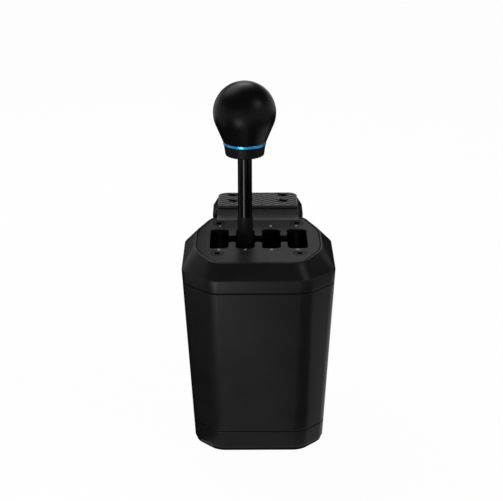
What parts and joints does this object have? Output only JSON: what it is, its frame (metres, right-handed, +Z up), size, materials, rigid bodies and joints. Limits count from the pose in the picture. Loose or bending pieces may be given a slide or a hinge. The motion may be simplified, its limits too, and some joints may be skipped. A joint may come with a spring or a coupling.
{
  "type": "gear shifter",
  "caption": "H-pattern gear shifter for a racing simulator: tapered black housing, slotted gate plate, ball-knob lever on a two-axis pivot and a slotted rear mounting bracket.",
  "frame": {"origin": "underside of the foot pad, below the middle of the gate", "axes": "+X to the driver's right, +Y away from the driver, +Z up"},
  "size_m": [0.127, 0.1668, 0.3028],
  "materials": {
    "foot_rubber": "matt moulded rubber",
    "shell": "fine-textured black moulding",
    "turned_steel": "turned and plated",
    "chassis_metal": "machined, plain",
    "bush": "turned bronze",
    "bowl_plastic": "plain moulding",
    "spring_steel": "drawn wire",
    "board": "green lacquer",
    "socket_shell": "bright folded sheet",
    "plate_steel": "satin dark grey",
    "black_screws": "black oxide",
    "bracket": "satin black coat",
    "grip_rubber": "ribbed, matt",
    "magnet": "nickel plate",
    "post_black": "matt black",
    "rod_black": "glossy black",
    "brass": "turned",
    "collar": "matt moulding",
    "ring_blue": "blue anodised",
    "knob_soft": "soft-touch black"
  },
  "bodies": {
    "housing": {"foot_pad": "foot_rubber", "base_tray": "shell", "base_screws": "turned_steel", "chassis": "chassis_metal", "front_axle_bush": "bush", "rear_axle_bush": "bush", "detent_bowl": "bowl_plastic", "bowl_screws": "turned_steel", "keeper_pins": "turned_steel", "centring_spring_left": "spring_steel", "centring_spring_right": "spring_steel", "gate_pillars": "turned_steel", "main_board": "board", "board_screws": "turned_steel", "data_socket": "socket_shell", "main_housing": "shell", "backing_plate": "turned_steel", "top_cap": "shell", "gate_plate": "plate_steel", "gate_screws": "black_screws", "rear_bracket": "bracket", "bracket_bolts": "black_screws", "grip_pad": "grip_rubber"},
    "yoke": {"yoke_frame": "chassis_metal", "front_axle": "turned_steel", "rear_axle": "turned_steel", "axle_magnet": "magnet", "pivot_bush_left": "bush", "pivot_bush_right": "bush", "lever_sensor_board": "board"},
    "lever": {"lever_hub": "chassis_metal", "pivot_shaft": "turned_steel", "shaft_magnet": "magnet", "foot_magnet": "magnet", "lever_post": "post_black", "post_pin": "turned_steel", "grub_screw": "black_screws", "lever_rod": "rod_black", "knob_insert": "brass", "knob_collar": "collar", "knob_ring": "ring_blue", "knob_body": "knob_soft"}
  },
  "joints": [
    {"name": "lane_select", "type": "hinge", "parent": "housing", "child": "yoke", "pos_m": [-0.011, 0, 0.065], "axis": [0, 1, 0], "range_deg": [-12.3, 23.6], "stiffness_Nm_per_rad": 4, "deforming": ["centring_spring_left", "centring_spring_right"]},
    {"name": "gear_throw", "type": "hinge", "parent": "yoke", "child": "lever", "pos_m": [-0.011, 0, 0.065], "axis": [1, 0, 0], "range_deg": [-8.5, 8.5]}
  ]
}
